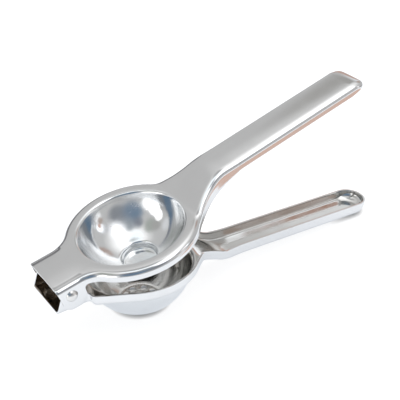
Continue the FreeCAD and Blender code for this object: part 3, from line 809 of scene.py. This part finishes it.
hole_rings = made_by(holes_tree, "hole_rings", hole_values)
print("strainer hole points", len(hole_rings.vertices))

# %% [markdown]
# The flat base is filled between the bowl's last ring and the hole rings. Triangles do no harm
# here, because all of them lie in one plane and so mirror as one.

# %% Cup arm: base with holes
base = bmesh.new()
outer_points = [base.verts.new(column[-1]) for column in cup.bowl_columns[:-1]]
edges = [base.edges.new(pair) for pair in zip(outer_points, outer_points[1:] + outer_points[:1])]
ring_points = [base.verts.new((v.co.x + BOWL, v.co.y, BASE)) for v in hole_rings.vertices]
edges += [base.edges.new([ring_points[i] for i in edge.vertices]) for edge in hole_rings.edges]
bmesh.ops.triangle_fill(base, use_beauty=True, use_dissolve=False, edges=edges)
first_point = len(cup.cloth.points)
base.verts.index_update()
cup.cloth.points.extend(np.array(v.co) for v in base.verts)
cup.cloth.faces.extend(tuple(first_point + v.index for v in face.verts) for face in base.faces)
cup.cloth.zones.extend([SPUN] * len(base.faces))
print("base faces", len(base.faces))
base.free()
cup_sheet = cup.cloth.mesh("cup_sheet", flat_place)
print("cup sheet", len(cup_sheet.vertices), "points,", len(cup_sheet.polygons), "faces")

# %% [markdown]
# A drawn face has no thickness yet. Solidify adds the 1.2 mm of steel on its inner side and
# gives that side its own material, by counting two slots further. It works along the face
# normals, so they have to look outwards first: the largest face shows which way they look.

# %% Finishes on the drawn face
def dress(sheet, outside):
    """Slots and zones of a sheet, its normals turned towards a point that sees its outside."""
    for finish in (polished, spun, inner, inner):
        sheet.materials.append(finish)
    zones = [0] * len(sheet.polygons)
    sheet.attributes["zone"].data.foreach_get("value", zones)
    sheet.polygons.foreach_set("material_index", [1 if zone == SPUN else 0 for zone in zones])
    face = max(sheet.polygons, key=lambda f: f.area)
    if (Vector(outside) - face.center).dot(face.normal) < 0:
        sheet.flip_normals()
    print(sheet.name, "has", zones.count(SPUN), "spun faces of", len(zones))


dress(press_sheet, (0, 0, 1))
dress(cup_sheet, (0, 0, -1))

# %% [markdown]
# A narrow Bevel then takes the sharpness off the cut edges, which is what makes them catch the
# light. Both modifiers are applied, so that the piece is a plain mesh when it is handed on, and
# its cut edges are counted: a closed sheet of steel has no open ones.

# %% Sheet to solid steel
GAUGE, EDGE_ROUND = 1.2, 0.18


def pressed(name, sheet):
    """Give a sheet its thickness inwards and soften its cut edges."""
    piece = bpy.data.objects.new(name, sheet)
    bpy.context.scene.collection.objects.link(piece)
    solid = piece.modifiers.new("steel", "SOLIDIFY")
    solid.thickness = GAUGE * MM
    solid.offset = -1.0
    solid.use_even_offset = True
    solid.use_quality_normals = True
    solid.material_offset = 2
    edge = piece.modifiers.new("cut_edge", "BEVEL")
    edge.width = EDGE_ROUND * MM
    edge.segments = 2
    edge.limit_method = "ANGLE"
    edge.angle_limit = math.radians(50)
    bpy.context.view_layer.update()
    ready = piece.evaluated_get(bpy.context.evaluated_depsgraph_get())
    data = bpy.data.meshes.new_from_object(ready)
    piece.modifiers.clear()
    piece.data = data
    data.name = name
    data.set_sharp_from_angle(angle=math.radians(45))
    check = bmesh.new()
    check.from_mesh(data)
    open_edges = sum(1 for e in check.edges if not e.is_manifold)
    volume = round(check.calc_volume() * 1e6, 2)
    check.free()
    print(name, len(data.polygons), "faces,", open_edges, "open edges, volume cm3", volume)
    return piece


press_piece = pressed("press_arm_sheet", press_sheet)
cup_piece = pressed("cup_arm_sheet", cup_sheet)

# %% [markdown]
# Each side of the hinge has its own short rivet: a domed head outside the ear, a shank through
# both sheets, and a flat tail spread inside the hinge box. It is a turned part, so its profile
# says everything about it.

# %% Rivet profile
SHANK, HEAD, DOME_HEIGHT, TAIL_RADIUS = 2.4, 3.3, 1.9, 3.6
SHEET_GAP, TAIL_GAP, TAIL_THICK = 0.15, 0.12, 1.0


def rivet_profile():
    """(away from the tool's middle, radius) along the rivet, tail first."""
    ear = TAB_HALF
    tail = ear - GAUGE - SHEET_GAP - GAUGE - TAIL_GAP
    rows = [(tail - TAIL_THICK, 0.0), (tail - TAIL_THICK, HEAD), (tail - 0.9, 3.5),
            (tail - 0.75, TAIL_RADIUS), (tail - 0.25, TAIL_RADIUS), (tail - 0.1, 3.5), (tail, HEAD),
            (tail, SHANK), (ear, SHANK), (ear, HEAD - 0.1), (ear + 0.06, HEAD)]
    dome = (HEAD ** 2 + DOME_HEIGHT ** 2) / (2 * DOME_HEIGHT)
    low = math.asin(HEAD / dome)
    for k in range(1, 13):
        angle = low * (1 - k / 12)
        rows.append((ear + DOME_HEIGHT - dome + dome * math.cos(angle), dome * math.sin(angle)))
    return rows


print("rivet profile has", len(rivet_profile()), "points")

# %% [markdown]
# A lathe turns one profile into a round body, and a tree can do the same with some arithmetic
# on each point. `calculate` adds one step of it, so that the tree reads like a formula.

# %% One step of arithmetic
def calculate(tree, operation, *values):
    """A Math node; each value is a number or another node's output. Gives its result."""
    step = tree.nodes.new("ShaderNodeMath")
    step.operation = operation
    for socket, value in zip(step.inputs, values):
        if isinstance(value, (int, float)):
            socket.default_value = value
        else:
            tree.links.new(value, socket)
    return step.outputs[0]


print("arithmetic helper", calculate.__name__)

# %% [markdown]
# The tree takes a flat grid with one row for each profile point and one column for each part
# of a turn. It moves every point to its profile point, turned by its own angle, and then welds
# the seam and the two ends on the axis.

# %% Rivet tree
TURNS = 48
rivet_tree, inlet, outlet = new_tree("turned_rivet", [
    ("Turns", "NodeSocketInt", TURNS), ("Side", "NodeSocketFloat", 1.0)])
node, wire = rivet_tree.nodes.new, rivet_tree.links.new
profile, turns = inlet.outputs["Geometry"], inlet.outputs["Turns"]
profile_size = node("GeometryNodeAttributeDomainSize")
wire(profile, profile_size.inputs["Geometry"])
rows = profile_size.outputs["Point Count"]
cloth = node("GeometryNodeMeshGrid")
wire(calculate(rivet_tree, "ADD", turns, 1), cloth.inputs["Vertices X"])
wire(rows, cloth.inputs["Vertices Y"])
index = node("GeometryNodeInputIndex").outputs[0]
sample = node("GeometryNodeSampleIndex")
sample.data_type = "FLOAT_VECTOR"
wire(profile, sample.inputs["Geometry"])
wire(node("GeometryNodeInputPosition").outputs[0], sample.inputs["Value"])
wire(calculate(rivet_tree, "FLOORED_MODULO", index, rows), sample.inputs["Index"])
turn = calculate(rivet_tree, "FLOOR", calculate(rivet_tree, "DIVIDE", index, rows))
angle = calculate(rivet_tree, "MULTIPLY", turn, calculate(rivet_tree, "DIVIDE", 2 * math.pi, turns))
split = node("ShaderNodeSeparateXYZ")
wire(sample.outputs[0], split.inputs[0])
radius, away = split.outputs["X"], split.outputs["Y"]
turned = node("ShaderNodeCombineXYZ")
cosine, sine = calculate(rivet_tree, "COSINE", angle), calculate(rivet_tree, "SINE", angle)
wire(calculate(rivet_tree, "MULTIPLY", radius, cosine), turned.inputs["X"])
wire(calculate(rivet_tree, "MULTIPLY", away, inlet.outputs["Side"]), turned.inputs["Y"])
wire(calculate(rivet_tree, "MULTIPLY", radius, sine), turned.inputs["Z"])
moved = node("GeometryNodeSetPosition")
wire(cloth.outputs["Mesh"], moved.inputs["Geometry"])
wire(turned.outputs[0], moved.inputs["Position"])
welded = node("GeometryNodeMergeByDistance")
welded.inputs["Distance"].default_value = 0.002
wire(moved.outputs[0], welded.inputs["Geometry"])
end_tree(rivet_tree, welded.outputs[0], outlet, rivet_steel)
print("rivet tree has", len(rivet_tree.nodes), "nodes")

# %% [markdown]
# The two rivets differ only in the side they sit on. On the real tool they turn with the press
# arm, whose ears grip them, so they take the press arm's place.

# %% Two rivets
def rivet(name, side):
    """A turned rivet on one side of the tool, side 1 or -1 along Y, in the open press arm."""
    rows = rivet_profile()
    drawn = bpy.data.meshes.new(name + "_profile")
    drawn.from_pydata([(r, y, 0) for y, r in rows], [(k, k + 1) for k in range(len(rows) - 1)], [])
    data = made_by(rivet_tree, name, {"Turns": TURNS, "Side": side}, drawn)
    # The tree's grid brings an empty slot with it, and the finish sits in the one after that.
    data.materials.pop(index=0)
    work = bmesh.new()
    work.from_mesh(data)
    bmesh.ops.dissolve_degenerate(work, edges=work.edges, dist=0.0005)
    bmesh.ops.recalc_face_normals(work, faces=work.faces)
    bmesh.ops.transform(work, matrix=open_place, verts=work.verts)
    print(name, "open edges", sum(1 for e in work.edges if not e.is_manifold))
    work.to_mesh(data)
    work.free()
    data.shade_smooth()
    data.set_sharp_from_angle(angle=math.radians(35))
    piece = bpy.data.objects.new(name, data)
    bpy.context.scene.collection.objects.link(piece)
    return piece


front_piece = rivet("rivet_front_turned", -1.0)
back_piece = rivet("rivet_back_turned", 1.0)

# %% [markdown]
# The imported model knows what moves: the press arm and both rivets swing on the hinge. Each
# row names a piece, its body, the solid it stands for and its material slot; the piece rides on its
# body, and that solid is hidden.

# %% Every piece rides on its body in place of its hidden solid
for piece, body, node_name, slot in (
        (press_piece, "press_arm", "press_arm", "polished_steel"),
        (cup_piece, "cup_arm", "cup_arm", "polished_steel"),
        (front_piece, "press_arm", "rivet_front", "rivet_steel"),
        (back_piece, "press_arm", "rivet_back", "rivet_steel")):
    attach(piece, body)
    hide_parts(node_name)
    print(piece.name, "rides on", body)

# %% [markdown]
# The camera stands where the photograph was taken. It was found by fitting the tool's known
# circles and edges to it: a long lens, looking down by 33 degrees from the hinge end.

# %% Camera
SENSOR = 36.0
FOCUS_PIXELS, PICTURE_PIXELS = 900, 400
camera_data = bpy.data.cameras.new("camera")
camera_data.sensor_width = SENSOR
camera_data.lens = FOCUS_PIXELS / PICTURE_PIXELS * SENSOR
camera = bpy.data.objects.new("camera", camera_data)
camera.location = (-0.2396, -0.3516, 0.32058)
camera.rotation_euler = tuple(math.radians(a) for a in (57.0611, 1.7453, -34.0))
scene = bpy.context.scene
scene.collection.objects.link(camera)
scene.camera = camera
scene.view_settings.view_transform = "Standard"
print("lens", round(camera_data.lens, 1), "mm")

# %% [markdown]
# The tool lies on plain pale paper. One large square is enough for it, a fifth of a
# millimetre below the tool so that the two never share a face.

# %% Floor
floor_data = bpy.data.meshes.new("floor")
floor_data.from_pydata([(-3, -3, 0), (3, -3, 0), (3, 3, 0), (-3, 3, 0)], [], [(0, 1, 2, 3)])
floor = bpy.data.objects.new("floor", floor_data)
scene.collection.objects.link(floor)
floor.location.z = -0.0002
print("floor is", round(floor.dimensions.x), "m wide")

# %% [markdown]
# To the camera, and in the steel, the paper is lit mostly from itself so that it reads white,
# and the rest of it is plain paper that keeps the tool's soft shadow. Close under the tool its
# glow fades, as it would where no light gets in.

# %% Floor paper
paper = bpy.data.materials.new("floor_paper")
paper.use_nodes = True
nodes, wire = paper.node_tree.nodes, paper.node_tree.links.new
plain = nodes["Principled BSDF"]
plain.inputs["Base Color"].default_value = (0.8, 0.8, 0.8, 1)
plain.inputs["Roughness"].default_value = 0.9
ray_kind = nodes.new("ShaderNodeLightPath")
open_to_light = nodes.new("ShaderNodeAmbientOcclusion")
open_to_light.inputs["Distance"].default_value = 0.003
open_to_light.samples = 8


def lit_paper(under, share, glow, ray):
    """Paper that glows by itself and keeps a share of the light on it, for one kind of ray."""
    dim = nodes.new("ShaderNodeBsdfDiffuse")
    dim.inputs["Color"].default_value = (share, share, share, 1)
    own = nodes.new("ShaderNodeEmission")
    own.inputs["Color"].default_value = (*glow, 1)
    wire(open_to_light.outputs["AO"], own.inputs["Strength"])
    both = nodes.new("ShaderNodeAddShader")
    choose = nodes.new("ShaderNodeMixShader")
    wire(dim.outputs[0], both.inputs[0])
    wire(own.outputs[0], both.inputs[1])
    wire(ray_kind.outputs[ray], choose.inputs["Fac"])
    wire(under, choose.inputs[1])
    wire(both.outputs[0], choose.inputs[2])
    return choose.outputs[0]


seen_in_steel = lit_paper(plain.outputs[0], 0.48, (0.56, 0.59, 0.63), "Is Glossy Ray")
seen_by_camera = lit_paper(seen_in_steel, 0.30, (0.83, 0.83, 0.83), "Is Camera Ray")
wire(seen_by_camera, nodes["Material Output"].inputs["Surface"])
floor_data.materials.append(paper)
print("floor paper has", len(nodes), "nodes")

# %% [markdown]
# Steel shows the room it stands in, so a room is painted on the world. It starts as plain grey
# that gets brighter overhead, like a pale ceiling over darker walls.

# %% Room: plain greys from below to above
greys = [(0.0, 0.55), (0.02, 0.40), (0.06, 0.50), (0.13, 0.60), (0.68, 0.62), (0.80, 0.85),
         (0.92, 1.35), (1.0, 1.6)]
world = bpy.data.worlds.new("room")
scene.world = world
world.use_nodes = True
nodes, wire = world.node_tree.nodes, world.node_tree.links.new
direction = nodes.new("ShaderNodeTexCoord").outputs["Generated"]
parts = nodes.new("ShaderNodeSeparateXYZ")
ramp = nodes.new("ShaderNodeValToRGB")
while len(ramp.color_ramp.elements) < len(greys):
    ramp.color_ramp.elements.new(0.5)
for element, (place, grey) in zip(ramp.color_ramp.elements, greys):
    element.position = place
    element.color = (grey, grey, grey, 1)
wire(direction, parts.inputs[0])
wire(parts.outputs["Z"], ramp.inputs["Fac"])
print("straight overhead the room is", greys[-1][1], "bright, level it is", greys[0][1])

# %% [markdown]
# Soft round patches go over the grey. A patch is a direction and two angles round it: within
# the core it has its full colour, and from there it fades out to the outer one. The cosine of
# the angle between two directions is their dot product, so no trigonometry is left in the nodes.

# %% Room: one soft patch
def patch(under, azimuth, height, core, outer, colour):
    """One soft round patch over the room's colour so far; gives the new colour. Angles in degrees."""
    a, h = math.radians(azimuth), math.radians(height)
    dot = nodes.new("ShaderNodeVectorMath")
    dot.operation = "DOT_PRODUCT"
    dot.inputs[1].default_value = (math.cos(h) * math.cos(a), math.cos(h) * math.sin(a), math.sin(h))
    soft = nodes.new("ShaderNodeMapRange")
    soft.interpolation_type = "SMOOTHSTEP"
    soft.inputs["From Min"].default_value = math.cos(math.radians(outer))
    soft.inputs["From Max"].default_value = math.cos(math.radians(core))
    mix = nodes.new("ShaderNodeMixRGB")
    mix.inputs["Color2"].default_value = (*colour, 1)
    wire(direction, dot.inputs[0])
    wire(dot.outputs["Value"], soft.inputs["Value"])
    wire(soft.outputs["Result"], mix.inputs["Fac"])
    wire(under, mix.inputs["Color1"])
    return mix.outputs["Color"]


print("patch helper", patch.__name__)

# %% [markdown]
# Light patches stand where windows and lamps would be, dim and warm ones between them. Each
# row gives the azimuth (from +X towards +Y) and the height, the core and the outer radius, and
# the colour, where 1 is as bright as white paper. Later patches lie over earlier ones.

# %% Room: patches of light and shade
behind_the_camera = [
    (262, 34, 12, 28, (0.27, 0.29, 0.32)),
    (228, 28, 10, 26, (0.17, 0.25, 0.35)),
    (211, 50, 4, 14, (0.20, 0.22, 0.27)),
    (240, 56, 8, 16, (0.33, 0.37, 0.41))]
past_the_hinge = [
    (172, 42, 4, 17, (0.44, 0.47, 0.44)),
    (160, 33, 3, 14, (0.45, 0.45, 0.44)),
    (141, 16, 5, 12, (0.78, 0.79, 0.81)),
    (198, 8, 7, 14, (2.2, 2.2, 2.2)),
    (182, 11, 9, 16, (2.3, 2.3, 2.3)),
    (168, 17, 5, 12, (2.0, 2.0, 2.0))]
high_up = [
    (178, 76, 6, 16, (1.25, 1.36, 1.42)),
    (118, 80, 7, 12, (0.52, 0.54, 0.55)),
    (289, 60, 12, 19, (1.9, 1.9, 1.95))]
beside_the_lower_handle = [
    (311, 14, 5, 12, (1.15, 1.16, 1.18)),
    (308, 44, 4, 9, (0.40, 0.42, 0.45)),
    (320.5, 32, 6, 10, (1.75, 1.82, 1.92)),
    (309, 24, 4, 7, (0.50, 0.42, 0.38)),
    (318, 29, 2.5, 5.5, (0.66, 0.43, 0.35))]
far_side = [
    (36, 26, 4, 14, (0.92, 0.94, 0.96)),
    (46, 11, 9, 14, (0.60, 0.43, 0.37)),
    (20, 36, 5, 14, (0.5, 0.40, 0.36)),
    (57, 41, 4, 12, (0.44, 0.435, 0.42)),
    (89, 16, 7, 17, (0.20, 0.20, 0.21)),
    (333, 8, 3, 9, (0.34, 0.32, 0.31)),
    (110, 68, 6, 18, (0.5, 0.5, 0.5))]
patches = behind_the_camera + past_the_hinge + high_up + beside_the_lower_handle + far_side
painted = ramp.outputs["Color"]
for azimuth, height, core, outer, colour in patches:
    painted = patch(painted, azimuth, height, core, outer, colour)
print("room has", len(patches), "patches")

# %% [markdown]
# The painted room lights the tool and shows in its steel. The camera itself sees plain white
# behind the floor.

# %% Room: white to the camera
ray_kind = nodes.new("ShaderNodeLightPath")
seen = nodes.new("ShaderNodeMixRGB")
seen.inputs["Color2"].default_value = (1, 1, 1, 1)
wire(ray_kind.outputs["Is Camera Ray"], seen.inputs["Fac"])
wire(painted, seen.inputs["Color1"])
wire(seen.outputs["Color"], nodes["Background"].inputs["Color"])
print("world has", len(nodes), "nodes")

# %% [markdown]
# The flank of the upper handle and its end look down at the table, and their warm tint comes from
# there. Two copper-coloured cards that only the steel can see lie on the floor and give it.

# %% Copper cards
copper_cards = [[(0.044, -0.165), (0.26, -0.235), (0.26, -0.088), (0.050, -0.076)],
                [(0.200, 0.118), (0.250, 0.118), (0.256, 0.185), (0.200, 0.185)]]
card_data = bpy.data.meshes.new("copper_cards")
card_data.from_pydata([(x, y, 0) for corners in copper_cards for x, y in corners], [],
                      [(4 * k, 4 * k + 1, 4 * k + 2, 4 * k + 3) for k in range(len(copper_cards))])
cards = bpy.data.objects.new("copper_cards", card_data)
scene.collection.objects.link(cards)
cards.location.z = 0.0004
cards.visible_camera = cards.visible_diffuse = cards.visible_shadow = False
copper = bpy.data.materials.new("copper_card")
copper.use_nodes = True
nodes, wire = copper.node_tree.nodes, copper.node_tree.links.new
nodes.remove(nodes["Principled BSDF"])
shine = nodes.new("ShaderNodeEmission")
shine.inputs["Color"].default_value = (0.82, 0.59, 0.50, 1)
wire(shine.outputs[0], nodes["Material Output"].inputs["Surface"])
card_data.materials.append(copper)
print("copper cards", len(card_data.polygons))

# %% [markdown]
# One soft lamp overhead lays the tool's shadow on the paper. The steel doesn't show it,
# because the room's own bright patches already stand for what the steel mirrors.

# %% Overhead lamp
lamp_place = Vector((0.1, 0.35, 1.1))
lamp_data = bpy.data.lights.new("overhead", "AREA")
lamp_data.shape = "RECTANGLE"
lamp_data.size, lamp_data.size_y = 0.9, 0.6
lamp_data.energy = 8
lamp = bpy.data.objects.new("overhead", lamp_data)
lamp.location = lamp_place
lamp.rotation_euler = (-lamp_place).to_track_quat("-Z", "Y").to_euler()
lamp.visible_glossy = False
scene.collection.objects.link(lamp)
print("lamp stands", round(lamp_place.z, 2), "m over the floor")
